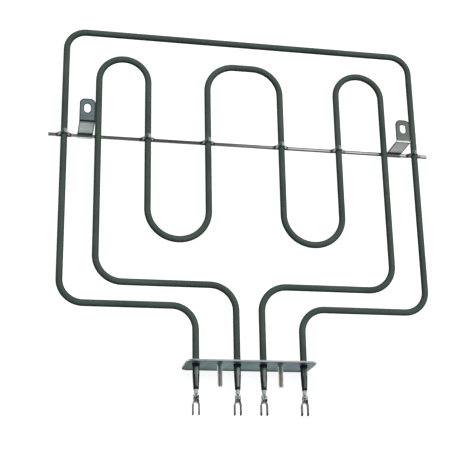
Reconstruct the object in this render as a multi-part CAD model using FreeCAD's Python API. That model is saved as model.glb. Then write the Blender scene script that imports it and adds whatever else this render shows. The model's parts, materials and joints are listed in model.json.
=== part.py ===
import FreeCAD, Part
import math
import os

from FreeCAD import Vector

# A twin-loop tubular heating element for the roof of an oven.
# Millimetres. The origin is the middle of the tubes on the flange's mounting face.
# +Y runs into the oven, the terminals point to -Y, and +Z is up to the oven's roof.

# Sheath tube
TUBE_OD = 6.5
TUBE_WALL = 0.6
FIT = 0.05                      # radial clearance of a piece that sits inside another

# Outer loop, measured on the tube's centre line
OUTER_WIDTH = 358.0
OUTER_DEPTH = 337.0
OUTER_LEG_X = 51.5
OUTER_LEG_LENGTH = 55.5
OUTER_LEG_RADIUS = 22.5
OUTER_NEAR_RADIUS = 22.5
OUTER_FAR_RADIUS = 19.5

# Inner loop, measured on the tube's centre line
INNER_LEG_X = 12.5
INNER_LEG_RADIUS = 25.0
INNER_NEAR_RADIUS = 25.5
SIDE_GAP = 32.75                # from the outer loop's side run to the inner one's
FAR_GAP = 27.0                  # from the outer loop's far run to the tips of the fingers
NEAR_GAP = 21.5                 # from the outer loop's near run to the inner one's
RETURN_GAP = 44.5               # from the inner loop's near run to its two return bends
SIDE_FINGER_WIDTH = 48.75
RETURN_WIDTH = 60.0
MIDDLE_FLAT = 19.0              # straight run across the tip of the middle finger

# Tube ends on the terminal side of the flange
COLLAR_HEIGHT = 0.45
COLLAR_LENGTH = 2.2
SWAGE_START = 10.0
TUBE_END = 23.6
TUBE_END_OD = 5.2
CRIMP_FLATS = 4
CRIMP_DEPTH = 0.22

# End seal and terminal pin
SEAL_DEPTH = 2.0
SEAL_LENGTH = 4.3
SEAL_OD = 4.3
SEAL_EDGE = 0.6
PIN_OD = 2.4
PIN_IN = 28.0
PIN_OUT = 34.2
COIL_OD = 2.8
COIL_GAP = 0.3                  # between the end of a pin and the end of the coil

# Double blade terminal
BLADE_THICKNESS = 0.8
BLADE_HEIGHT = 6.3
BLADE_LENGTH = 11.2
BLADE_TIP = 1.3
BLADE_HOLE = 1.6
BLADE_HOLE_INSET = 3.6
BLADE_STEP = 0.6                # how far each blade stands out from the cradle's wall
BLADE_STEP_LENGTH = 1.2
CRADLE_WIDTH = 5.3
CRADLE_LENGTH = 7.2
CRADLE_GAP = 0.7                # from the end seal to the cradle
WING_LENGTH = 3.0
WING_INSET = 0.9                # from the start of the cradle to its two folded wings
WING_SEAM = 0.4

# Flange and its two studs
FLANGE_MARGIN = 10.25           # from the outer tubes to the ends of the plate
FLANGE_HEIGHT = 43.0
FLANGE_DROP = 6.0               # from the tubes down to the middle of the plate
FLANGE_THICKNESS = 1.5
FLANGE_CORNER = 7.0
STUD_SPACING = 58.0
STUD_OD = 5.0
STUD_LENGTH = 21.0
STUD_CHAMFER = 0.6
STUD_SHANK_OD = 5.6
STUD_HEAD_OD = 9.0
STUD_HEAD_HEIGHT = 1.2

# Support bar: a flat strip with a second strip formed over six of the tubes
BAR_Y = 225.0
BAR_OVERHANG = 15.0
STRIP_WIDTH = 3.2
STRIP_THICKNESS = 0.8
RAMP_ANGLE = 55.0
RAMP_RADIUS = 3.0
SADDLE_HALF = 1.5
SADDLE_RAMP = 3.0

# Ceiling brackets
BRACKET_SHEET = 1.2
BRACKET_WIDTH = 15.0
BRACKET_GAP = 1.6               # from the inner loop's side tube to the bracket
BRACKET_TOP = 27.0
BRACKET_REACH = 24.0
BRACKET_BEND = 1.0
BRACKET_CORNER = 5.0
SLOT_WIDTH = 6.2
SLOT_LENGTH = 9.6
SLOT_INSET = 9.8                # from the plate's free edge to the middle of the slot
SEAT_GAP = 0.05                 # from the bracket's leg to the edge of the bar

# Sizes that follow from the ones above
TUBE_R = TUBE_OD / 2
BORE_R = TUBE_R - TUBE_WALL
CORE_R = BORE_R - FIT
COIL_R = COIL_OD / 2
PIN_R = PIN_OD / 2
TUBE_END_R = TUBE_END_OD / 2
MOUTH_R = TUBE_END_R - TUBE_WALL
SEAL_Y = TUBE_END - SEAL_DEPTH
COLLAR_R = TUBE_R + COLLAR_HEIGHT
RUN_START = COLLAR_HEIGHT       # the bent part of each tube starts just inside the plate
CRADLE_Y = TUBE_END + SEAL_LENGTH + CRADLE_GAP
INNER_DEPTH = OUTER_DEPTH - FAR_GAP
INNER_LEG_LENGTH = OUTER_LEG_LENGTH + NEAR_GAP
RETURN_Y = INNER_LEG_LENGTH + RETURN_GAP
SIDE_OUTER_X = OUTER_WIDTH / 2 - SIDE_GAP
SIDE_INNER_X = SIDE_OUTER_X - SIDE_FINGER_WIDTH
MIDDLE_X = SIDE_INNER_X - RETURN_WIDTH
MIDDLE_FINGER_RADIUS = MIDDLE_X - MIDDLE_FLAT / 2
STRAPPED_HALF = (MIDDLE_X, SIDE_INNER_X, OUTER_WIDTH / 2)
STRAPPED_X = sorted([-x for x in STRAPPED_HALF] + list(STRAPPED_HALF))
BAR_TOP = -TUBE_R
BAR_HALF = OUTER_WIDTH / 2 + BAR_OVERHANG
BRACKET_X = SIDE_OUTER_X + TUBE_R + BRACKET_GAP + BRACKET_WIDTH / 2
FLANGE_WIDTH = 2 * (OUTER_LEG_X + FLANGE_MARGIN)
TUBE_ENDS = {
    "outer_left": -OUTER_LEG_X,
    "inner_left": -INNER_LEG_X,
    "inner_right": INNER_LEG_X,
    "outer_right": OUTER_LEG_X,
}
SIDES = {"left": -1, "right": 1}

os.makedirs("parts", exist_ok=True)


def save(name, shape):
    """Write one node, cleaned of leftover seams."""
    shape.removeSplitter().exportStep("parts/" + name + ".step")


def rounded_wire(points, radii, closed=False):
    """Straight runs through the points, with a tangent arc of the given radius at each one."""
    count = len(points)
    corners = range(count) if closed else range(1, count - 1)
    arcs = {}
    for i in corners:
        here = points[i]
        back = (points[i - 1] - here).normalize()
        ahead = (points[(i + 1) % count] - here).normalize()
        half = back.getAngle(ahead) / 2
        if radii[i] == 0:
            arcs[i] = None
            continue
        reach = radii[i] / math.tan(half)
        middle = here + (back + ahead).normalize() * (radii[i] / math.sin(half) - radii[i])
        arcs[i] = (here + back * reach, middle, here + ahead * reach)
    edges = []
    for i in range(count if closed else count - 1):
        after = (i + 1) % count
        start = arcs[i][2] if arcs.get(i) else points[i]
        end = arcs[after][0] if arcs.get(after) else points[after]
        if (end - start).Length > 1e-6:
            edges.append(Part.LineSegment(start, end).toShape())
        if arcs.get(after):
            edges.append(Part.Arc(*arcs[after]).toShape())
    return Part.Wire(Part.__sortEdges__(edges))


def mirrored_run(half):
    """A centre line that is the same left and right, from its left half as (x, y, radius)."""
    run = half + [(-x, y, r) for x, y, r in reversed(half)]
    points = [Vector(x, y, 0) for x, y, r in run]
    return rounded_wire(points, [r for x, y, r in run])


def outer_run():
    """Centre line of the plain outer loop, from leg to leg."""
    side = OUTER_WIDTH / 2
    return mirrored_run([
        (-OUTER_LEG_X, RUN_START, 0),
        (-OUTER_LEG_X, OUTER_LEG_LENGTH, OUTER_LEG_RADIUS),
        (-side, OUTER_LEG_LENGTH, OUTER_NEAR_RADIUS),
        (-side, OUTER_DEPTH, OUTER_FAR_RADIUS),
    ])


def inner_run():
    """Centre line of the inner loop, which folds back and forth in five fingers."""
    finger = SIDE_FINGER_WIDTH / 2
    turn = RETURN_WIDTH / 2
    return mirrored_run([
        (-INNER_LEG_X, RUN_START, 0),
        (-INNER_LEG_X, INNER_LEG_LENGTH, INNER_LEG_RADIUS),
        (-SIDE_OUTER_X, INNER_LEG_LENGTH, INNER_NEAR_RADIUS),
        (-SIDE_OUTER_X, INNER_DEPTH, finger),
        (-SIDE_INNER_X, INNER_DEPTH, finger),
        (-SIDE_INNER_X, RETURN_Y, turn),
        (-MIDDLE_X, RETURN_Y, turn),
        (-MIDDLE_X, INNER_DEPTH, MIDDLE_FINGER_RADIUS),
    ])


def swept(run, leg_x, radius, bore=0):
    """A round bar or tube along a centre line that starts at the left leg and heads into the oven."""
    start = Vector(-leg_x, RUN_START, 0)
    face = Part.Face(Part.Wire(Part.makeCircle(radius, start, Vector(0, 1, 0))))
    if bore:
        hole = Part.Wire(Part.makeCircle(bore, start, Vector(0, 1, 0)))
        face = Part.Face([face.OuterWire, hole])
    return run.makePipe(face)


def turned(x, profile):
    """A solid of revolution about the line through x along Y, from (radius, y) corners."""
    points = [Vector(x + r, y, 0) for r, y in profile]
    face = Part.Face(Part.makePolygon(points + points[:1]))
    return face.revolve(Vector(x, 0, 0), Vector(0, 1, 0), 360)


def taper_r(y, full, end):
    """Radius on the swaged taper at a distance y from the mounting face."""
    share = (y - SWAGE_START) / (TUBE_END - SWAGE_START)
    return full + (end - full) * share


def sheath_end(x):
    """Tube end: collar swaged into the plate's countersink, then the taper with four crimp flats."""
    end = turned(x, [
        (BORE_R, RUN_START),
        (TUBE_R, RUN_START),
        (COLLAR_R, 0),
        (COLLAR_R, -COLLAR_LENGTH + COLLAR_HEIGHT),
        (TUBE_R, -COLLAR_LENGTH),
        (TUBE_R, -SWAGE_START),
        (TUBE_END_R, -TUBE_END),
        (MOUTH_R, -TUBE_END),
        (BORE_R, -SWAGE_START),
    ])
    tilt = math.degrees(math.atan((TUBE_R - TUBE_END_R) / (TUBE_END - SWAGE_START)))
    for i in range(CRIMP_FLATS):
        tool = Part.makeBox(TUBE_OD, TUBE_END - SWAGE_START + TUBE_OD, TUBE_OD)
        tool.translate(Vector(-TUBE_R, -TUBE_END + SWAGE_START - TUBE_OD, 0))
        tool.rotate(Vector(0, 0, 0), Vector(1, 0, 0), tilt)
        tool.translate(Vector(0, -SWAGE_START, TUBE_R - CRIMP_DEPTH))
        tool.rotate(Vector(0, 0, 0), Vector(0, 1, 0), (i + 0.5) * 360 / CRIMP_FLATS)
        tool.translate(Vector(x, 0, 0))
        end = end.cut(tool)
    return end


def sheath(run, leg_x):
    """Whole steel sheath: the bent tube and its two swaged ends."""
    tube = swept(run, leg_x, TUBE_R, BORE_R)
    return tube.fuse([sheath_end(-leg_x), sheath_end(leg_x)])


def insulation(run, leg_x):
    """Packed powder that fills the sheath round the coil and the two pins."""
    body = swept(run, leg_x, CORE_R)
    cavities = [swept(run, leg_x, COIL_R + FIT)]
    end_r = taper_r(SEAL_Y, BORE_R, MOUTH_R) - FIT
    for x in (-leg_x, leg_x):
        body = body.fuse(turned(x, [
            (0, RUN_START),
            (CORE_R, RUN_START),
            (CORE_R, -SWAGE_START),
            (end_r, -SEAL_Y),
            (0, -SEAL_Y),
        ]))
        cavities.append(Part.makeCylinder(
            PIN_R + FIT, SEAL_Y + RUN_START, Vector(x, RUN_START, 0), Vector(0, -1, 0)))
    return body.cut(cavities)


def coil(run, leg_x):
    """Resistance winding as one round bar of its outer diameter, between the two pins."""
    bar = swept(run, leg_x, COIL_R)
    start = PIN_IN + COIL_GAP
    for x in (-leg_x, leg_x):
        bar = bar.cut(Part.makeBox(TUBE_OD, start, TUBE_OD, Vector(x - TUBE_R, 0, -TUBE_R)))
    return bar


def terminal_pin(x):
    """Straight pin from the coil out through the end seal into the terminal's cradle."""
    return Part.makeCylinder(PIN_R, PIN_IN + PIN_OUT, Vector(x, -PIN_OUT, 0), Vector(0, 1, 0))


def end_seal(x):
    """Pale bead that closes the tube's mouth round the pin."""
    plug_in = taper_r(SEAL_Y, BORE_R, MOUTH_R) - FIT
    seal_r = SEAL_OD / 2
    tip = TUBE_END + SEAL_LENGTH
    return turned(x, [
        (PIN_R + FIT, -SEAL_Y),
        (plug_in, -SEAL_Y),
        (MOUTH_R - FIT, -TUBE_END),
        (seal_r, -TUBE_END),
        (seal_r - SEAL_EDGE / 4, -tip + SEAL_EDGE),
        (seal_r - SEAL_EDGE, -tip),
        (PIN_R + FIT, -tip),
    ])


def folded_section(x, y, length, corners):
    """Length of folded sheet that starts at y, from its section's (offset, z, radius) corners."""
    points = [Vector(x + offset, -y, z) for offset, z, radius in corners]
    radii = [radius for offset, z, radius in corners]
    face = Part.Face(rounded_wire(points, radii, closed=True))
    return face.extrude(Vector(0, -length, 0))


def blade_terminal(x):
    """Folded sheet terminal: a cradle with two wings over the pin, and two upright blades."""
    half = CRADLE_WIDTH / 2
    inside = half - BLADE_THICKNESS
    floor_top = -PIN_R
    floor_low = floor_top - BLADE_THICKNESS
    middle = floor_low + BLADE_THICKNESS / 2
    high = middle + BLADE_HEIGHT / 2
    low = middle - BLADE_HEIGHT / 2
    cradle = folded_section(x, CRADLE_Y, CRADLE_LENGTH, [
        (-half, high, 0),
        (-half, floor_low, BLADE_THICKNESS),
        (half, floor_low, BLADE_THICKNESS),
        (half, high, 0),
        (inside, high, 0),
        (inside, floor_top, 0),
        (-inside, floor_top, 0),
        (-inside, high, 0),
    ])
    wing_low = PIN_R + FIT
    wing_top = wing_low + BLADE_THICKNESS
    seam = WING_SEAM / 2
    wings = folded_section(x, CRADLE_Y + WING_INSET, WING_LENGTH, [
        (-seam, wing_top, 0),
        (-half, wing_top, BLADE_THICKNESS),
        (-half, floor_low, BLADE_THICKNESS),
        (half, floor_low, BLADE_THICKNESS),
        (half, wing_top, BLADE_THICKNESS),
        (seam, wing_top, 0),
        (seam, wing_low, 0),
        (inside, wing_low, 0),
        (inside, floor_top, 0),
        (-inside, floor_top, 0),
        (-inside, wing_low, 0),
        (-seam, wing_low, 0),
    ])
    blades = [blade(x, side, low, high) for side in SIDES.values()]
    return cradle.fuse([wings] + blades)


def blade(x, side, low, high):
    """One upright blade, stepped out from the wall of the cradle that it grows from."""
    wall = CRADLE_WIDTH / 2
    out = wall + BLADE_STEP
    cradle_end = CRADLE_Y + CRADLE_LENGTH
    root = cradle_end - BLADE_TIP
    stepped = cradle_end + BLADE_STEP_LENGTH
    tip = cradle_end + BLADE_LENGTH
    plan = [
        (wall, root),
        (wall, cradle_end),
        (out, stepped),
        (out, tip),
        (out - BLADE_THICKNESS, tip),
        (out - BLADE_THICKNESS, stepped),
        (wall - BLADE_THICKNESS, cradle_end),
        (wall - BLADE_THICKNESS, root),
    ]
    outline = [
        (cradle_end, low),
        (tip - BLADE_TIP, low),
        (tip, low + BLADE_TIP),
        (tip, high - BLADE_TIP),
        (tip - BLADE_TIP, high),
        (root, high),
        (root, low + BLADE_TIP),
    ]
    seen_from_above = [Vector(x + side * offset, -y, low) for offset, y in plan]
    seen_from_aside = [Vector(x - CRADLE_WIDTH, -y, z) for y, z in outline]
    strip = Part.Face(Part.makePolygon(seen_from_above + seen_from_above[:1]))
    strip = strip.extrude(Vector(0, 0, high - low))
    cut_to = Part.Face(Part.makePolygon(seen_from_aside + seen_from_aside[:1]))
    cut_to = cut_to.extrude(Vector(2 * CRADLE_WIDTH, 0, 0))
    hole_at = Vector(x - CRADLE_WIDTH, -tip + BLADE_HOLE_INSET, (low + high) / 2)
    hole = Part.makeCylinder(BLADE_HOLE / 2, 2 * CRADLE_WIDTH, hole_at, Vector(1, 0, 0))
    return strip.common(cut_to).cut(hole)


def flange_plate():
    """Flat plate with rounded corners, four countersunk tube holes and two stud holes."""
    half = FLANGE_WIDTH / 2
    top = FLANGE_HEIGHT / 2 - FLANGE_DROP
    low = top - FLANGE_HEIGHT
    outline = rounded_wire(
        [Vector(-half, 0, low), Vector(half, 0, low), Vector(half, 0, top), Vector(-half, 0, top)],
        [FLANGE_CORNER] * 4,
        closed=True,
    )
    plate = Part.Face(outline).extrude(Vector(0, FLANGE_THICKNESS, 0))
    holes = [(x, TUBE_R + FIT) for x in TUBE_ENDS.values()]
    holes += [(side * STUD_SPACING / 2, STUD_SHANK_OD / 2 + FIT) for side in SIDES.values()]
    for x, radius in holes:
        plate = plate.cut(Part.makeCylinder(
            radius, FLANGE_THICKNESS, Vector(x, 0, 0), Vector(0, 1, 0)))
    for x in TUBE_ENDS.values():
        plate = plate.cut(Part.makeCone(
            COLLAR_R + FIT, TUBE_R + FIT, COLLAR_HEIGHT, Vector(x, 0, 0), Vector(0, 1, 0)))
    return plate


def mounting_stud(side):
    """Headed stud with a thicker shank pressed into the flange, its thread left plain."""
    radius = STUD_OD / 2
    shank = STUD_SHANK_OD / 2
    head_y = FLANGE_THICKNESS + STUD_HEAD_HEIGHT
    return turned(side * STUD_SPACING / 2, [
        (0, -STUD_LENGTH),
        (radius - STUD_CHAMFER, -STUD_LENGTH),
        (radius, -STUD_LENGTH + STUD_CHAMFER),
        (radius, 0),
        (shank, 0),
        (shank, FLANGE_THICKNESS),
        (STUD_HEAD_OD / 2, FLANGE_THICKNESS),
        (STUD_HEAD_OD / 2, head_y - STUD_CHAMFER / 2),
        (STUD_HEAD_OD / 2 - STUD_CHAMFER / 2, head_y),
        (0, head_y),
    ])


def clamp_strip():
    """Upper strip: flat between the tubes and formed up and over the six that it holds."""
    strap_r = TUBE_R + STRIP_THICKNESS / 2
    flat_z = BAR_TOP - STRIP_THICKNESS / 2
    slope = math.radians(RAMP_ANGLE)
    apex = strap_r / math.cos(slope)
    foot = (apex - flat_z) / math.tan(slope)
    points = [Vector(-BAR_HALF, 0, flat_z)]
    radii = [0]
    for x in STRAPPED_X:
        points += [Vector(x - foot, 0, flat_z), Vector(x, 0, apex), Vector(x + foot, 0, flat_z)]
        radii += [RAMP_RADIUS, strap_r, RAMP_RADIUS]
    points.append(Vector(BAR_HALF, 0, flat_z))
    radii.append(0)
    return thickened(rounded_wire(points, radii))


def support_strip():
    """Lower strip: flat, and pressed up under each tube that the upper strip holds."""
    flat_z = BAR_TOP - STRIP_THICKNESS * 1.5
    high_z = BAR_TOP - STRIP_THICKNESS / 2
    points = [Vector(-BAR_HALF, 0, flat_z)]
    for x in STRAPPED_X:
        points += [
            Vector(x - SADDLE_HALF - SADDLE_RAMP, 0, flat_z),
            Vector(x - SADDLE_HALF, 0, high_z),
            Vector(x + SADDLE_HALF, 0, high_z),
            Vector(x + SADDLE_HALF + SADDLE_RAMP, 0, flat_z),
        ]
    points.append(Vector(BAR_HALF, 0, flat_z))
    return thickened(rounded_wire(points, [0] + [STRIP_THICKNESS] * (len(points) - 2) + [0]))


def thickened(line):
    """A strip of the bar's width, half its thickness above and half below the line."""
    half = STRIP_THICKNESS / 2
    start = line.Vertexes[0].Point
    section = Part.makePolygon([
        Vector(start.x, BAR_Y - STRIP_WIDTH / 2, start.z - half),
        Vector(start.x, BAR_Y + STRIP_WIDTH / 2, start.z - half),
        Vector(start.x, BAR_Y + STRIP_WIDTH / 2, start.z + half),
        Vector(start.x, BAR_Y - STRIP_WIDTH / 2, start.z + half),
        Vector(start.x, BAR_Y - STRIP_WIDTH / 2, start.z - half),
    ])
    path = line.translated(Vector(0, BAR_Y, 0))
    return path.makePipe(Part.Face(section))


def ceiling_bracket(side):
    """Folded bracket: foot welded under the bar, upright leg and a slotted plate at the top."""
    bar_edge = BAR_Y + STRIP_WIDTH / 2
    bar_low = BAR_TOP - 2 * STRIP_THICKNESS
    leg_y = bar_edge + SEAT_GAP
    foot_y = BAR_Y - STRIP_WIDTH / 2
    tip_y = leg_y + BRACKET_REACH
    low = bar_low - BRACKET_SHEET
    under = BRACKET_TOP - BRACKET_SHEET
    outer_bend = BRACKET_BEND + BRACKET_SHEET
    left = side * BRACKET_X - BRACKET_WIDTH / 2
    corners = [
        (foot_y, bar_low, 0),
        (foot_y, low, 0),
        (leg_y + BRACKET_SHEET, low, BRACKET_SHEET),
        (leg_y + BRACKET_SHEET, under, BRACKET_BEND),
        (tip_y, under, 0),
        (tip_y, BRACKET_TOP, 0),
        (leg_y, BRACKET_TOP, outer_bend),
        (leg_y, bar_low, 0),
    ]
    profile = rounded_wire(
        [Vector(left, y, z) for y, z, r in corners],
        [r for y, z, r in corners],
        closed=True,
    )
    body = Part.Face(profile).extrude(Vector(BRACKET_WIDTH, 0, 0))
    ends = [e for e in body.Edges if is_plate_corner(e, tip_y)]
    body = body.makeFillet(BRACKET_CORNER, ends)
    return body.cut(slot(side * BRACKET_X, tip_y - SLOT_INSET, under))


def is_plate_corner(edge, tip_y):
    """True for the two short upright edges at the plate's free end."""
    box = edge.BoundBox
    upright = box.ZLength > BRACKET_SHEET / 2 and box.XLength < FIT and box.YLength < FIT
    return upright and abs(box.YMax - tip_y) < FIT


def slot(x, y, z):
    """Cutting tool for the fixing slot, which is longer along Y."""
    radius = SLOT_WIDTH / 2
    straight = (SLOT_LENGTH - SLOT_WIDTH) / 2
    tool = Part.makeBox(SLOT_WIDTH, 2 * straight, BRACKET_SHEET, Vector(x - radius, y - straight, z))
    for end in (-straight, straight):
        tool = tool.fuse(Part.makeCylinder(radius, BRACKET_SHEET, Vector(x, y + end, z)))
    return tool


LOOPS = {
    "outer": (outer_run(), OUTER_LEG_X),
    "inner": (inner_run(), INNER_LEG_X),
}

for name, (run, leg_x) in LOOPS.items():
    save(name + "_sheath", sheath(run, leg_x))
    save(name + "_insulation", insulation(run, leg_x))
    save(name + "_resistance_coil", coil(run, leg_x))

for name, x in TUBE_ENDS.items():
    save("terminal_pin_" + name, terminal_pin(x))
    save("end_seal_" + name, end_seal(x))
    save("blade_terminal_" + name, blade_terminal(x))

save("flange_plate", flange_plate())
save("clamp_strip", clamp_strip())
save("support_strip", support_strip())

for name, side in SIDES.items():
    save("mounting_stud_" + name, mounting_stud(side))
    save("ceiling_bracket_" + name, ceiling_bracket(side))
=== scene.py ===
import json
import math

import bmesh
import bpy
from mathutils import Matrix, Vector


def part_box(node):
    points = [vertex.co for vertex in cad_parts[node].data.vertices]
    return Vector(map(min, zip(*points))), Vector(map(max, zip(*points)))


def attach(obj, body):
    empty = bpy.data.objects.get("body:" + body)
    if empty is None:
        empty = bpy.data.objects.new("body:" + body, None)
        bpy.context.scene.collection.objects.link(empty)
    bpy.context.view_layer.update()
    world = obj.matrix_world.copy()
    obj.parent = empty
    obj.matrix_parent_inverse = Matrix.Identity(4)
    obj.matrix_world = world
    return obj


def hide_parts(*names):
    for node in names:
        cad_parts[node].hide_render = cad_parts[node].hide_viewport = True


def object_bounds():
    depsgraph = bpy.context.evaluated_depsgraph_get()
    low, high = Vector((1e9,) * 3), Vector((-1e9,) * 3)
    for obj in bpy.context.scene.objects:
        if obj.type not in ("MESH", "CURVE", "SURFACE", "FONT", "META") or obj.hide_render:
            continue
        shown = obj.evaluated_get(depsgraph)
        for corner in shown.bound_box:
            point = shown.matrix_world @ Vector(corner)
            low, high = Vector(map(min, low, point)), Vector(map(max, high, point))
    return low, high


# A tubular heating element for the roof of an oven, in metres. +Y runs from the flange into the oven,
# +Z up to its roof, and 0 is the middle of the tubes on the flange's mounting face.

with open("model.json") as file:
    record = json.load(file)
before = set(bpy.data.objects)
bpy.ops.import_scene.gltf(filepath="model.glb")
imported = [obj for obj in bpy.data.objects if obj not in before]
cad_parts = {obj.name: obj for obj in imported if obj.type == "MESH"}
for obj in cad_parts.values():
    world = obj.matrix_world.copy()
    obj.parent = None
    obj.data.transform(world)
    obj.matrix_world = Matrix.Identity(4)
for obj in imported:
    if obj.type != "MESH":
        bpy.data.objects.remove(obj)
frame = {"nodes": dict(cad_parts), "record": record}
CAD_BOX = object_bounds()

# The photograph's camera: its place, its right and up directions, and its focal length in pixels
PHOTO_WIDTH = 472
FOCAL_PX = 1110.8
AXIS_SHIFT_PX = 28.0            # the lens axis meets the photo this far right of its middle
CAMERA_AT = (-0.2125, -0.2249, 1.0010)
CAMERA_RIGHT = (0.97648, -0.02814, 0.21375)
CAMERA_UP = (-0.04563, 0.94201, 0.33248)
SENSOR_MM = 36.0

# Studio
FLOOR_SIZE = 60.0
FLOOR_COLOUR = 0.28
FLOOR_GLOW = 0.88               # what camera and mirror rays see on top of the lit floor
BRIGHT_SIDE = (0.7, 0.7, 0.0)   # towards the room's brightest walls, far on the right
WALL_LIGHT = 0.75               # the room at the horizon, on its bright side
SHADE_LIGHT = 0.08              # and on the side opposite
CEILING_LIGHT = 0.25            # the room overhead
CEILING_RISE = (0.2, 0.8)       # the upward part of a ray's direction where the ceiling starts and is full
CEILING_COLOUR = (0.86, 0.95, 1.0)
LAMPS = {                       # place, size, power, and whether the metals mirror it
    "key": ((0.12, 0.60, 2.10), 0.9, 44.0, False),
    "panel": ((0.65, 0.75, 1.60), 1.2, 2.5, True),
    "front": ((0.95, -1.70, 0.95), 0.5, 7.0, True),
}

SIDES = ("left", "right")

CLAMPED_X = (0.0375, 0.0975, 0.1790)    # how far the six tubes under the bar are from the middle

# The mounting stud
STUD_R = 0.0025
STUD_CHAMFER = 0.0006
STUD_STEPS = 40                 # corners round the stud
PRESSED_R = 0.0028              # its shank inside the flange
HEAD_CHAMFER = 0.0003
THREAD_PITCH = 0.0008
THREAD_DEPTH = 0.00049
THREAD_ROWS = 10                # rings in one pitch
THREAD_RUNOUT = 0.0012          # plain shaft between the thread and the flange

# The ceiling bracket's plate
PLATE_CORNER = 0.005
SLOT_R = 0.0031
SLOT_HALF_STRAIGHT = 0.0017
SLOT_INSET = 0.0098             # from the plate's far edge to the middle of its slot

# How noise is scaled along X, Y and Z: a small number draws it out into lines along that axis
ROLLED = (0.05, 1, 1)
DRAWN = (1, 0.05, 1)
SHORT_DRAWN = (1, 0.2, 1)
WOUND = (1, 14, 1)
SWAGE_LINES = (1, 0.03, 1)
FLANGE_BANDS = (1, 0, 0.1)

# The finishes, in linear base colours. A pair of colours is the darkest and the lightest patch or, where its
# name ends in SIDES, the left one and the right one. A pair of numbers says where a finish starts and where
# it is full: a place along the axis that ends its name, the upward part of the surface's normal where it ends
# in UP, centimetres where it ends in CM, and distances from an edge in the others.

# Sheaths
OXIDE = ((0.040, 0.058, 0.049), (0.065, 0.089, 0.075))
OXIDE_Y = (-0.0004, 0.0004)
SCUFF = (0.10, 0.13, 0.12)
# Painted shade: the sheath darkens towards its underside
UNDERSIDE_SHADE = (0.012, 0.016, 0.014)
UNDERSIDE_SHADE_UP = (0.92, 0.25)
SWAGED = ((0.05, 0.06, 0.055), (0.27, 0.30, 0.285))
SWAGED_UP = (0.70, 0.92)
# Painted shade on the sides of the swaged ends
SWAGED_SIDE_SHADE = (0.018, 0.024, 0.022)
BURNT = (0.020, 0.026, 0.024)
COLLAR_BURN_Y = (-0.0036, -0.0026)
MOUTH_BURN = (0.0030, 0.0020)

# Where the bar clamps the tubes, on the tubes just beyond it and on the bar itself: painted highlight, shade
# and reflection, and a dark spot beside each tube
# Painted highlight on the tubes just beyond the bar, lighter on their right flank
GLINT_SIDES = ((0.08, 0.10, 0.09), (0.27, 0.29, 0.275))
GLINT_RISE = (-0.0006, 0.0)     # from the bar's far edge
GLINT_FALL = (0.0032, 0.0022)
GLINT_UP = (0.2, 0.6)
RIGHT_FLANK = (-0.1, 0.35)      # the part of the surface's normal that points to the right
CROWN_CM = (0.40, 0.36)         # from a tube's middle
# Painted shade on the near half of the crown over each tube, painted highlight on its far half, lighter on
# the right
CROWN_NEAR_SHADE = (0.10, 0.12, 0.11)
CROWN_HIGHLIGHT_SIDES = ((0.26, 0.29, 0.27), (0.78, 0.80, 0.78))
CROWN_SPLIT = (-0.0002, 0.0003)         # from the bar's middle line
# Painted reflection on the bar's bends beside each tube, lighter on the right
BEND_REFLECTION_SIDES = ((0.26, 0.27, 0.26), (0.52, 0.53, 0.51))
BEND_CM = [(0.36, 0.0), (0.40, 1.0), (0.48, 1.0), (0.56, 0.0)]      # from a tube's middle, and weight
# A dark spot on the bar beside each clamped tube
BESIDE_TUBE_DARK = (0.022, 0.018, 0.015)
BESIDE_TUBE_DARK_CM = [(0.48, 0.0), (0.56, 0.85), (0.70, 0.85), (0.78, 0.0)]

# Bar
STRIP = ((0.21, 0.215, 0.205), (0.31, 0.317, 0.305))
# The bar's colour, painted highlight included, goes no brighter than this
STRIP_BRIGHTEST = (0.92, 0.94, 0.92)
# Painted shade on the bar's cut edge along its right half
STRIP_CUT_SHADE = (0.035, 0.036, 0.034)
STRIP_RIGHT_X = (-0.02, 0.05)
STRIP_RIM_SCALE = 500.0         # brings metres from its middle line into a ramp's 0 to 1
STRIP_REACH = 0.2               # just past its ends
# Painted light and shade along the bar
STRIP_PAINTED_LIGHT = [                 # place along X, and factor
    (-0.19, 1.5), (-0.172, 2.9), (-0.150, 2.9), (-0.140, 0.85), (-0.07, 0.5), (-0.03, 0.7),
    (0.0, 0.95), (0.05, 1.3), (0.14, 1.35), (0.15, 2.8), (0.168, 2.8), (0.19, 2.0),
]

# Flange
ZINC = ((0.275, 0.365, 0.37), (0.325, 0.425, 0.43))
ZINC_STAIN = (0.29, 0.32, 0.43)
STAIN_RISE_X = (0.026, 0.036)
STAIN_FALL_X = (0.050, 0.044)
ZINC_SPECKLE = (0.14, 0.135, 0.155)
SPECKLED_X = (0.049, 0.055)
# Painted shade along the flange face's lower rim and, fainter, its upper rim
ZINC_RIM_SHADE = (0.08, 0.10, 0.105)
LOWER_RIM = (0.013, 0.0)
UPPER_RIM = (-0.009, 0.0)
# The cut edges' bare steel, made brighter as a painted highlight
BARE_CUT_HIGHLIGHT = (0.80, 0.83, 0.82)
FLANGE_REACH = 0.062            # just past its ends
# Painted light and shade along the flange's face
FLANGE_PAINTED_LIGHT = [                # place along X, and factor
    (-0.060, 0.85), (-0.045, 0.9), (-0.020, 1.3), (-0.004, 0.85),
    (0.006, 1.2), (0.018, 1.0), (0.042, 1.1), (0.055, 1.3),
]

# Studs and terminals
STUD = ((0.60, 0.58, 0.545), (0.81, 0.79, 0.75))
STUD_ROOT = (0.52, 0.59, 0.565)
ROOT_SPAN = (-0.0095, -0.0065)
TABS = ((0.34, 0.325, 0.305), (0.46, 0.445, 0.42))
TAB_TIP = (0.10, 0.095, 0.09)
TIP_SPAN = (0.0034, 0.0008)
CRADLE = ((0.025, 0.025, 0.023), (0.80, 0.79, 0.77))
CRADLE_SPAN = (-0.0084, -0.0074)

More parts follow.
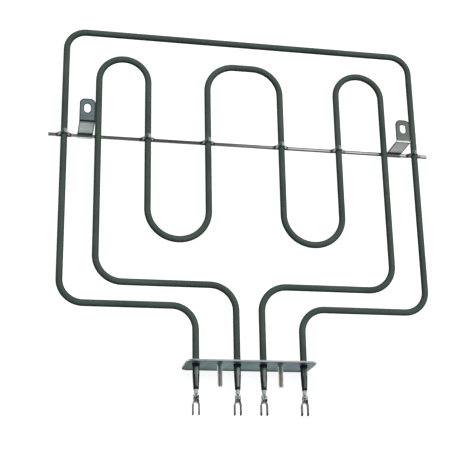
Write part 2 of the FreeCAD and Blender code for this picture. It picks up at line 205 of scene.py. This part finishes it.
# Ceiling brackets
BRACKET = ((0.30, 0.322, 0.315), (0.41, 0.433, 0.42))
BRACKET_RIGHT_X = (-0.01, 0.01)
# Painted light: the left and right brackets, one sheet, tinted apart on plate and leg
PLATE_LIGHT_SIDES = ((1.13, 1.31, 1.40), (0.965, 0.935, 0.88))
LEG_LIGHT_SIDES = ((0.98, 1.06, 1.00), (0.94, 0.91, 0.88))
# Painted reflection along the fold, dark on the left bracket and bright on the right
FOLD_REFLECTION_SIDES = ((0.05, 0.06, 0.065), (0.95, 0.95, 0.93))
# Painted shade along the plate's sheared rims and round its slot
SHEARED_EDGE_SHADE = (0.035, 0.045, 0.047)
PLATE_RIM = (-0.0014, -0.0006)
SLOT_RIM = (0.0010, 0.0003)
# Painted light on the leg's lower part, towards the foot
FOOT_Z = (0.012, 0.002)
SEAM = (0.05, 0.055, 0.055)
SEAM_Z = (0.0002, -0.0008)
# Painted shade on the leg just below the fold
BELOW_FOLD_SHADE = (0.08, 0.085, 0.085)
FOLD_SPAN = (-0.0046, -0.0034)

# Other pieces
COIL = ((0.24, 0.22, 0.20), (0.36, 0.33, 0.30))
PIN = ((0.34, 0.33, 0.31), (0.55, 0.53, 0.50))
BEAD = ((0.29, 0.325, 0.32), (0.40, 0.435, 0.425))
POWDER = ((0.66, 0.65, 0.62), (0.82, 0.81, 0.78))
DULL_SPOT = (0.06, 0.06, 0.055)


def new_material(name):
    """An empty node material with its Principled shader."""
    material = bpy.data.materials.new(name)
    material.use_nodes = True
    tree = material.node_tree
    return material, tree, tree.nodes["Principled BSDF"]


def add_node(tree, kind, values=None, **settings):
    """A shader node with its settings and the values of its inputs."""
    node = tree.nodes.new(kind)
    for key, value in settings.items():
        setattr(node, key, value)
    for key, value in (values or {}).items():
        node.inputs[key].default_value = value
    return node


def object_space(tree, scale=(1, 1, 1)):
    """Object coordinates, stretched by the given scale."""
    coords = add_node(tree, "ShaderNodeTexCoord")
    mapping = add_node(tree, "ShaderNodeMapping", {"Scale": scale})
    tree.links.new(coords.outputs["Object"], mapping.inputs["Vector"])
    return mapping.outputs["Vector"]


def noise(tree, vector, scale, detail=4.0, roughness=0.55):
    """A noise field from 0 to 1."""
    node = add_node(tree, "ShaderNodeTexNoise",
                    {"Scale": scale, "Detail": detail, "Roughness": roughness})
    tree.links.new(vector, node.inputs["Vector"])
    return node.outputs["Fac"]


def ramp(tree, value, stops):
    """A colour ramp from (position, grey or colour) stops."""
    node = add_node(tree, "ShaderNodeValToRGB")
    elements = node.color_ramp.elements
    while len(elements) < len(stops):
        elements.new(0.5)
    for element, (position, colour) in zip(elements, stops):
        element.position = position
        rgb = colour if isinstance(colour, tuple) else (colour,) * 3
        element.color = (*rgb, 1)
    tree.links.new(value, node.inputs["Fac"])
    return node.outputs["Color"]


def fade(tree, value, low, high, first, last):
    """A grey or colour that goes from the first where the value is low to the last where it is high."""
    return ramp(tree, value, [(low, first), (high, last)])


def mixed(tree, factor, low, high, blend="MIX"):
    """Two colours mixed by a factor. Each of the three may be a link or a plain value."""
    node = add_node(tree, "ShaderNodeMix", data_type="RGBA", blend_type=blend)
    for socket, source in ((node.inputs[0], factor), (node.inputs[6], low), (node.inputs[7], high)):
        if isinstance(source, bpy.types.NodeSocket):
            tree.links.new(source, socket)
        else:
            socket.default_value = (*source, 1) if isinstance(source, tuple) else source
    return node.outputs[2]


def tinted(tree, colour, tones):
    """A colour multiplied by tones."""
    return mixed(tree, 1.0, colour, tones, "MULTIPLY")


def maths(tree, operation, *sources):
    """A math node whose inputs are links or plain numbers."""
    node = add_node(tree, "ShaderNodeMath", operation=operation)
    for socket, source in zip(node.inputs, sources):
        if isinstance(source, bpy.types.NodeSocket):
            tree.links.new(source, socket)
        else:
            socket.default_value = source
    return node.outputs[0]


def times(tree, first, second):
    """The product of two numbers."""
    return maths(tree, "MULTIPLY", first, second)


def absolute(tree, value):
    """A number without its sign."""
    return maths(tree, "ABSOLUTE", value)


def apart(tree, value, centre):
    """How far a number is from a centre, either way."""
    return absolute(tree, maths(tree, "SUBTRACT", value, centre))


def beyond(tree, value, limit):
    """How far a number is past a limit, or 0."""
    return maths(tree, "MAXIMUM", maths(tree, "SUBTRACT", value, limit), 0.0)


def flat_length(tree, x, y):
    """Length of the flat vector (x, y)."""
    squares = maths(tree, "ADD", times(tree, x, x), times(tree, y, y))
    return maths(tree, "SQRT", squares)


def spread(tree, value, low, high):
    """A number that runs from low to high as the value goes from 0 to 1."""
    node = add_node(tree, "ShaderNodeMapRange", {"To Min": low, "To Max": high})
    tree.links.new(value, node.inputs["Value"])
    return node.outputs["Result"]


def step(tree, value, start, full):
    """A number that goes from 0 where the value is at the start to 1 where it is full."""
    node = add_node(tree, "ShaderNodeMapRange", {"From Min": start, "From Max": full})
    tree.links.new(value, node.inputs["Value"])
    return node.outputs["Result"]


def band(tree, value, rise, fall):
    """A number that is 1 between a (start, full) step on one side and another on the other, and 0 outside."""
    return times(tree, step(tree, value, *rise), step(tree, value, *fall))


def step_from(tree, value, edge, distances):
    """A step whose start and full places are given as distances from an edge."""
    return step(tree, value, *(edge + distance for distance in distances))


def bumped(tree, shader, height, strength, distance):
    """Puts a height field on the shader's normal."""
    node = add_node(tree, "ShaderNodeBump", {"Strength": strength, "Distance": distance})
    tree.links.new(height, node.inputs["Height"])
    tree.links.new(node.outputs["Normal"], shader.inputs["Normal"])


def part_along(tree, vector, axis):
    """A vector's part along an axis of the frame."""
    split = add_node(tree, "ShaderNodeSeparateXYZ")
    tree.links.new(vector, split.inputs["Vector"])
    return split.outputs[axis]


def place(tree, axis):
    """Where a point is along an axis of the frame."""
    coords = add_node(tree, "ShaderNodeTexCoord")
    return part_along(tree, coords.outputs["Object"], axis)


def normal_along(tree, axis):
    """The surface normal's part along an axis of the frame, from -1 to 1."""
    geometry = add_node(tree, "ShaderNodeNewGeometry")
    return part_along(tree, geometry.outputs["Normal"], axis)


def facing(tree, axis):
    """How squarely a surface faces along an axis of the frame, either way, from 0 to 1."""
    return absolute(tree, normal_along(tree, axis))


def right_flank(tree):
    """1 where a round surface leans to the right, 0 where it leans to the left."""
    return step(tree, normal_along(tree, "X"), *RIGHT_FLANK)


def from_clamped(tree):
    """How far along X a point is from the middle of the nearest clamped tube, in centimetres."""
    across = absolute(tree, place(tree, "X"))
    away = 1.0                  # farther than any tube
    for centre in CLAMPED_X:
        away = maths(tree, "MINIMUM", away, apart(tree, across, centre))
    return times(tree, away, 100.0)


def with_painted_glint(tree, colour):
    """A painted highlight on the upward faces of the tubes just beyond the bar that clamps them, duller on
    their left side.
    """
    bar_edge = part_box("clamp_strip")[1][1]
    depth = place(tree, "Y")
    glint = step_from(tree, depth, bar_edge, GLINT_RISE)
    glint = times(tree, glint, step_from(tree, depth, bar_edge, GLINT_FALL))
    glint = times(tree, glint, step(tree, from_clamped(tree), *CROWN_CM))
    glint = times(tree, glint, step(tree, normal_along(tree, "Z"), *GLINT_UP))
    # painted highlight, lighter on the right flank
    return mixed(tree, glint, colour, mixed(tree, right_flank(tree), *GLINT_SIDES))


def swaged_end(tree):
    """Bare streaks along the top of a swaged tube end with painted shade on its sides, burnt dark at its
    collar and at its mouth.
    """
    streaks = noise(tree, object_space(tree, SWAGE_LINES), 480, 2)
    # painted shade: only the upward top keeps the streaks, the sides turn dark
    top = step(tree, normal_along(tree, "Z"), *SWAGED_UP)
    colour = mixed(tree, top, SWAGED_SIDE_SHADE, fade(tree, streaks, 0.38, 0.60, *SWAGED))
    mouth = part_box("outer_sheath")[0][1]
    depth = place(tree, "Y")
    at_collar = step(tree, depth, *COLLAR_BURN_Y)
    at_mouth = step_from(tree, depth, mouth, MOUTH_BURN)
    return mixed(tree, maths(tree, "MAXIMUM", at_collar, at_mouth), colour, BURNT)


def sheath_material():
    """Green-black oxide on stainless tube with painted shade towards its underside, with scuffs and bare
    swaged ends.
    """
    material, tree, shader = new_material("oxidised_sheath")
    space = object_space(tree)
    oxide = fade(tree, noise(tree, space, 22), 0.3, 0.7, *OXIDE)
    grain = fade(tree, noise(tree, space, 900, 3), 0.35, 0.7, 0.8, 1.15)
    scuffs = fade(tree, noise(tree, space, 160, 6, 0.7), 0.62, 0.74, 0.0, 1.0)
    colour = mixed(tree, spread(tree, scuffs, 0.0, 0.25), tinted(tree, oxide, grain), SCUFF)
    # painted shade towards the underside
    colour = mixed(tree, step(tree, normal_along(tree, "Z"), *UNDERSIDE_SHADE_UP), colour, UNDERSIDE_SHADE)
    colour = with_painted_glint(tree, colour)
    body = step(tree, place(tree, "Y"), *OXIDE_Y)
    tree.links.new(mixed(tree, body, swaged_end(tree), colour), shader.inputs["Base Color"])
    tree.links.new(spread(tree, scuffs, 0.46, 0.36), shader.inputs["Roughness"])
    tree.links.new(spread(tree, body, 0.4, 0.0), shader.inputs["Metallic"])
    shader.inputs["Specular IOR Level"].default_value = 0.06
    bumped(tree, shader, noise(tree, space, 1400, 3), 0.12, 0.0002)
    return material


def shaded_along(tree, colour, reach, stops):
    """A colour made darker or lighter along X by (place, factor) stops, out to the reach."""
    where = step(tree, place(tree, "X"), -reach, reach)
    tones = ramp(tree, where, [((at + reach) / (2 * reach), factor) for at, factor in stops])
    return tinted(tree, colour, tones)


def flange_tones(tree, colour):
    """Upright tone bands, painted light and shade along X, a violet stain, speckled ends, painted shade along
    the face's lower and upper rims, and cut edges of bare steel made brighter as a painted highlight.
    """
    bands = noise(tree, object_space(tree, FLANGE_BANDS), 85, 2)
    colour = tinted(tree, colour, fade(tree, bands, 0.35, 0.65, 0.88, 1.12))
    # painted light and shade along X
    colour = shaded_along(tree, colour, FLANGE_REACH, FLANGE_PAINTED_LIGHT)
    across = place(tree, "X")
    stain = band(tree, across, STAIN_RISE_X, STAIN_FALL_X)
    colour = mixed(tree, times(tree, stain, 0.6), colour, ZINC_STAIN)
    speckles = fade(tree, noise(tree, object_space(tree), 420, 3), 0.44, 0.56, 0.0, 0.5)
    near_end = step(tree, absolute(tree, across), *SPECKLED_X)
    colour = mixed(tree, times(tree, speckles, near_end), colour, ZINC_SPECKLE)
    low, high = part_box("flange_plate")
    # painted shade along the lower and upper rims
    height = place(tree, "Z")
    lower_rim = step_from(tree, height, low[2], LOWER_RIM)
    upper_rim = times(tree, step_from(tree, height, high[2], UPPER_RIM), 0.4)
    rims = times(tree, maths(tree, "MAXIMUM", lower_rim, upper_rim), 0.85)
    colour = mixed(tree, rims, colour, ZINC_RIM_SHADE)
    # cut edges: bare steel brightened as a painted highlight
    on_face = step(tree, facing(tree, "Y"), 0.55, 0.75)
    return mixed(tree, on_face, BARE_CUT_HIGHLIGHT, colour)


def shaded_root(tree, colour):
    """The stud's root, dull from the plating that runs onto it."""
    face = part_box("flange_plate")[0][1]
    return mixed(tree, step_from(tree, place(tree, "Y"), face, ROOT_SPAN), colour, STUD_ROOT)


def bar_tones_and_painted_light(tree, colour):
    """The bar's tones with painted light and shade along it, a painted highlight down the middle of its right
    half between painted shade at its rims and on its cut edge, and over and beside each tube painted
    reflection, painted shade and highlight, and a dark spot.
    """
    # painted light and shade along the bar
    colour = shaded_along(tree, colour, STRIP_REACH, STRIP_PAINTED_LIGHT)
    right = step(tree, place(tree, "X"), *STRIP_RIGHT_X)
    low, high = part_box("clamp_strip")
    beside = maths(tree, "SUBTRACT", place(tree, "Y"), (low[1] + high[1]) / 2)
    # painted highlight down the middle of the right half, painted shade at its rims
    rims = fade(tree, times(tree, absolute(tree, beside), STRIP_RIM_SCALE), 0.28, 0.46, 2.4, 0.22)
    colour = mixed(tree, right, colour, tinted(tree, colour, rims))
    colour = mixed(tree, 1.0, colour, STRIP_BRIGHTEST, "DARKEN")
    # painted shade on the cut edge
    cut_edge = times(tree, step(tree, facing(tree, "Y"), 0.6, 0.8), right)
    colour = mixed(tree, times(tree, cut_edge, 0.9), colour, STRIP_CUT_SHADE)
    away = from_clamped(tree)
    # painted reflection on the bends beside each tube
    colour = mixed(tree, ramp(tree, away, BEND_CM), colour, mixed(tree, right, *BEND_REFLECTION_SIDES))
    # a dark spot beside each tube
    colour = mixed(tree, ramp(tree, away, BESIDE_TUBE_DARK_CM), colour, BESIDE_TUBE_DARK)
    # painted shade on the crown's near half, painted highlight on its far half
    crown_highlight = mixed(tree, right_flank(tree), *CROWN_HIGHLIGHT_SIDES)
    crown = mixed(tree, step(tree, beside, *CROWN_SPLIT), CROWN_NEAR_SHADE, crown_highlight)
    return mixed(tree, step(tree, away, *CROWN_CM), colour, crown)


def bright_cradle(tree, colour):
    """Bright cradle with weld soot, and dull blades with darker tips."""
    low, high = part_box("blade_terminal_inner_left")
    depth = place(tree, "Y")
    colour = mixed(tree, step_from(tree, depth, low[1], TIP_SPAN), colour, TAB_TIP)
    on_cradle = step_from(tree, depth, high[1], CRADLE_SPAN)
    soot = noise(tree, object_space(tree), 430, 2)
    return mixed(tree, on_cradle, colour, fade(tree, soot, 0.41, 0.50, *CRADLE))


def plate_rims(tree, low, high):
    """1 along the sheared edges of the bracket's plate and round its slot."""
    half = (high[0] - low[0]) / 2
    aside = apart(tree, absolute(tree, place(tree, "X")), low[0] + half)
    depth = place(tree, "Y")
    past_x = beyond(tree, aside, half - PLATE_CORNER)
    past_y = beyond(tree, depth, high[1] - PLATE_CORNER)
    edge = step_from(tree, flat_length(tree, past_x, past_y), PLATE_CORNER, PLATE_RIM)
    slot_y = beyond(tree, apart(tree, depth, high[1] - SLOT_INSET), SLOT_HALF_STRAIGHT)
    slot = step_from(tree, flat_length(tree, aside, slot_y), SLOT_R, SLOT_RIM)
    return maths(tree, "MAXIMUM", edge, slot)


def rim_and_fold(tree, colour):
    """Painted shade along the rims, painted light that tints the left and right brackets apart, painted light
    on the foot, a dark line at the seam, painted shade below the fold and a painted reflection along the
    fold.
    """
    low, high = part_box("ceiling_bracket_right")
    # painted shade along the rims
    colour = mixed(tree, times(tree, plate_rims(tree, low, high), 0.8), colour, SHEARED_EDGE_SHADE)
    right = step(tree, place(tree, "X"), *BRACKET_RIGHT_X)
    upright = facing(tree, "Y")
    leg = step(tree, upright, 0.4, 0.6)
    # painted light that tints the two brackets apart
    side_light = mixed(tree, leg, mixed(tree, right, *PLATE_LIGHT_SIDES), mixed(tree, right, *LEG_LIGHT_SIDES))
    colour = tinted(tree, colour, side_light)
    height = place(tree, "Z")
    # painted light on the foot
    foot_light = fade(tree, step(tree, height, *FOOT_Z), 0.0, 1.0, 1.0, 1.5)
    colour = mixed(tree, leg, colour, tinted(tree, colour, foot_light))
    seam = times(tree, step(tree, height, *SEAM_Z), leg)
    colour = mixed(tree, times(tree, seam, 0.8), colour, SEAM)
    # painted shade below the fold
    below_fold = times(tree, step_from(tree, height, high[2], FOLD_SPAN), step(tree, upright, 0.94, 0.97))
    colour = mixed(tree, times(tree, below_fold, 0.7), colour, BELOW_FOLD_SHADE)
    # painted reflection along the fold
    fold = band(tree, upright, (0.15, 0.4), (0.97, 0.88))
    return mixed(tree, fold, colour, mixed(tree, right, *FOLD_REFLECTION_SIDES))


def plated_material(name, patches, roughness, stretch, speckle=0.0, finish=None, glance=1.0):
    """Rolled or plated metal: tone patches, fine rolling lines, dull spots and a last local finish.

    A glance below 1 keeps a dull metal from turning white where it is seen at a low angle.
    """
    material, tree, shader = new_material(name)
    lines = noise(tree, object_space(tree, stretch), 700, 4, 0.6)
    space = object_space(tree)
    cloud = noise(tree, space, 55, 5, 0.6)
    colour = fade(tree, cloud, 0.3, 0.7, *patches)
    colour = tinted(tree, colour, fade(tree, lines, 0.3, 0.7, 0.82, 1.12))
    if speckle:
        spots = fade(tree, noise(tree, space, 420, 5, 0.7), 0.6, 0.72, 0.0, 1.0)
        colour = mixed(tree, spread(tree, spots, 0.0, speckle), colour, DULL_SPOT)
    if finish:
        colour = finish(tree, colour)
    tree.links.new(colour, shader.inputs["Base Color"])
    tree.links.new(spread(tree, cloud, roughness - 0.06, roughness + 0.08), shader.inputs["Roughness"])
    shader.inputs["Metallic"].default_value = 1.0
    shader.inputs["Specular Tint"].default_value = (glance, glance, glance, 1)
    bumped(tree, shader, lines, 0.10, 0.0001)
    return material


def seal_material():
    """Pale grey-white sealing bead, slightly glassy and uneven."""
    material, tree, shader = new_material("sealing_bead")
    space = object_space(tree)
    colour = fade(tree, noise(tree, space, 380), 0.3, 0.7, *BEAD)
    tree.links.new(colour, shader.inputs["Base Color"])
    tree.links.new(spread(tree, noise(tree, space, 900), 0.28, 0.5), shader.inputs["Roughness"])
    bumped(tree, shader, noise(tree, space, 500, 3), 0.3, 0.0004)
    return material


def powder_material():
    """Packed white powder inside the sheath."""
    material, tree, shader = new_material("packed_powder")
    space = object_space(tree)
    colour = fade(tree, noise(tree, space, 1500, 5), 0.3, 0.7, *POWDER)
    tree.links.new(colour, shader.inputs["Base Color"])
    shader.inputs["Roughness"].default_value = 0.95
    bumped(tree, shader, noise(tree, space, 2500, 3), 0.3, 0.0002)
    return material


MATERIALS = {
    "sheath": sheath_material(),
    "insulation": powder_material(),
    "seal": seal_material(),
    "coil_wire": plated_material("coil_wire", COIL, 0.45, WOUND),
    "pin": plated_material("steel_pin", PIN, 0.30, DRAWN, 0.3),
    "terminal": plated_material("nickelled_tabs", TABS, 0.26, DRAWN, finish=bright_cradle, glance=0.2),
    "flange": plated_material("zinc_flange", ZINC, 0.36, ROLLED, finish=flange_tones, glance=0.3),
    "strip": plated_material("rolled_strip", STRIP, 0.30, ROLLED, 0.2, finish=bar_tones_and_painted_light),
    "stud": plated_material("steel_stud", STUD, 0.42, SHORT_DRAWN, 0.3, finish=shaded_root),
    "bracket": plated_material("galvanised_sheet", BRACKET, 0.44, ROLLED, 0.22, finish=rim_and_fold),
}


def dress(piece, slot):
    """Gives a piece the finish of one of the record's material slots."""
    piece.data.materials.clear()
    piece.data.materials.append(MATERIALS[slot])


for part in frame["record"]["subparts"]:
    dress(frame["nodes"][part["node"]], part["material_slot"])


def piece_from(name, mesh_data, slot):
    """A new piece of the object, riding on the one body, with a slot's finish."""
    mesh = bpy.data.meshes.new(name)
    mesh_data.to_mesh(mesh)
    mesh_data.free()
    piece = bpy.data.objects.new(name, mesh)
    bpy.context.collection.objects.link(piece)
    dress(piece, slot)
    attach(piece, "root")
    return piece


def lathed(centre, rings, thread_from, thread_to):
    """Closed surface round a line along Y from (radius, y) rings, with a helical thread on one stretch."""
    mesh_data = bmesh.new()
    rows = []
    for radius, y in rings:
        row = []
        for i in range(STUD_STEPS):
            turn = i / STUD_STEPS
            r = radius
            if thread_from <= y < thread_to:
                phase = (y / THREAD_PITCH + turn) % 1
                r = radius - THREAD_DEPTH * abs(2 * phase - 1)
            angle = 2 * math.pi * turn
            row.append(mesh_data.verts.new((
                centre[0] + r * math.cos(angle), y, centre[2] + r * math.sin(angle))))
        rows.append(row)
    for low, high in zip(rows, rows[1:]):
        for i in range(STUD_STEPS):
            j = (i + 1) % STUD_STEPS
            mesh_data.faces.new((low[i], low[j], high[j], high[i]))
    mesh_data.faces.new(rows[0][::-1])
    mesh_data.faces.new(rows[-1])
    bmesh.ops.recalc_face_normals(mesh_data, faces=mesh_data.faces)
    return mesh_data


def threaded_stud(side):
    """Stud with its rolled thread, in the place of the plain solid."""
    node = "mounting_stud_" + side
    low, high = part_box(node)
    flange_low, flange_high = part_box("flange_plate")
    centre = ((low[0] + high[0]) / 2, 0, (low[2] + high[2]) / 2)
    head_r = (high[0] - low[0]) / 2
    start = low[1] + STUD_CHAMFER
    end = flange_low[1] - THREAD_RUNOUT
    rings = [(STUD_R - STUD_CHAMFER, low[1]), (STUD_R - STUD_CHAMFER / 2, low[1] + STUD_CHAMFER / 2)]
    rows = int((end - start) / THREAD_PITCH * THREAD_ROWS)
    for i in range(rows + 1):
        rings.append((STUD_R, start + (end - start) * i / rows))
    rings += [
        (STUD_R, flange_low[1]),
        (PRESSED_R, flange_low[1]),
        (PRESSED_R, flange_high[1]),
        (head_r, flange_high[1]),
        (head_r, high[1] - HEAD_CHAMFER),
        (head_r - HEAD_CHAMFER, high[1]),
    ]
    piece = piece_from("threaded_stud_" + side, lathed(centre, rings, start, end), "stud")
    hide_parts(node)


for side_name in SIDES:
    threaded_stud(side_name)


def make_camera():
    """The photograph's view."""
    data = bpy.data.cameras.new("camera")
    camera = bpy.data.objects.new("camera", data)
    bpy.context.collection.objects.link(camera)
    right = Vector(CAMERA_RIGHT).normalized()
    up = (Vector(CAMERA_UP) - right * right.dot(Vector(CAMERA_UP))).normalized()
    back = right.cross(up)
    turn = Matrix((right, up, back)).transposed()
    camera.matrix_world = Matrix.Translation(CAMERA_AT) @ turn.to_4x4()
    data.sensor_fit = "HORIZONTAL"
    data.sensor_width = SENSOR_MM
    data.lens = FOCAL_PX / PHOTO_WIDTH * SENSOR_MM
    data.shift_x = -AXIS_SHIFT_PX / PHOTO_WIDTH
    data.clip_start = 0.01
    data.clip_end = 50
    bpy.context.scene.camera = camera


def seen_directly(tree):
    """1 for rays that show the background: from the camera, off gloss or through glass."""
    path = add_node(tree, "ShaderNodeLightPath")
    total = path.outputs["Is Camera Ray"]
    for name in ("Is Glossy Ray", "Is Transmission Ray"):
        total = maths(tree, "MAXIMUM", total, path.outputs[name])
    return total


def make_floor():
    """Plain white floor under the object that keeps its shadow."""
    bpy.ops.mesh.primitive_plane_add(size=FLOOR_SIZE, location=(0, 0, CAD_BOX[0][2]))
    floor = bpy.context.object
    floor.name = "floor"
    material, tree, shader = new_material("floor")
    shader.inputs["Base Color"].default_value = (FLOOR_COLOUR,) * 3 + (1,)
    shader.inputs["Roughness"].default_value = 0.9
    shader.inputs["Specular IOR Level"].default_value = 0.0
    shader.inputs["Emission Color"].default_value = (1, 1, 1, 1)
    glow = times(tree, seen_directly(tree), FLOOR_GLOW)
    tree.links.new(glow, shader.inputs["Emission Strength"])
    floor.data.materials.append(material)


def make_room():
    """A room that is brightest far on the right, dim overhead and dimmest on the side opposite."""
    world = bpy.data.worlds.new("room")
    bpy.context.scene.world = world
    world.use_nodes = True
    tree = world.node_tree
    coords = add_node(tree, "ShaderNodeTexCoord")
    direction = coords.outputs["Generated"]
    toward = add_node(tree, "ShaderNodeVectorMath", {1: BRIGHT_SIDE}, operation="DOT_PRODUCT")
    tree.links.new(direction, toward.inputs[0])
    side = spread(tree, step(tree, toward.outputs["Value"], -1.0, 1.0), SHADE_LIGHT, WALL_LIGHT)
    overhead = step(tree, part_along(tree, direction, "Z"), *CEILING_RISE)
    walls = times(tree, side, maths(tree, "SUBTRACT", 1.0, overhead))
    strength = maths(tree, "ADD", walls, times(tree, overhead, CEILING_LIGHT))
    background = tree.nodes["Background"]
    tree.links.new(strength, background.inputs["Strength"])
    tree.links.new(mixed(tree, overhead, (1.0, 1.0, 1.0), CEILING_COLOUR), background.inputs["Color"])


def make_lamps():
    """Soft lamps that point at the middle of the object."""
    middle = (Vector(CAD_BOX[0]) + Vector(CAD_BOX[1])) / 2
    for name, (at, size, power, mirrored) in LAMPS.items():
        data = bpy.data.lights.new(name, "AREA")
        data.shape = "SQUARE"
        data.size = size
        data.energy = power
        lamp = bpy.data.objects.new(name, data)
        bpy.context.collection.objects.link(lamp)
        lamp.location = at
        lamp.visible_glossy = mirrored
        lamp.rotation_mode = "QUATERNION"
        lamp.rotation_quaternion = (middle - Vector(at)).to_track_quat("-Z", "Y")


make_camera()
make_floor()
make_room()
make_lamps()
bpy.context.scene.view_settings.view_transform = "Standard"
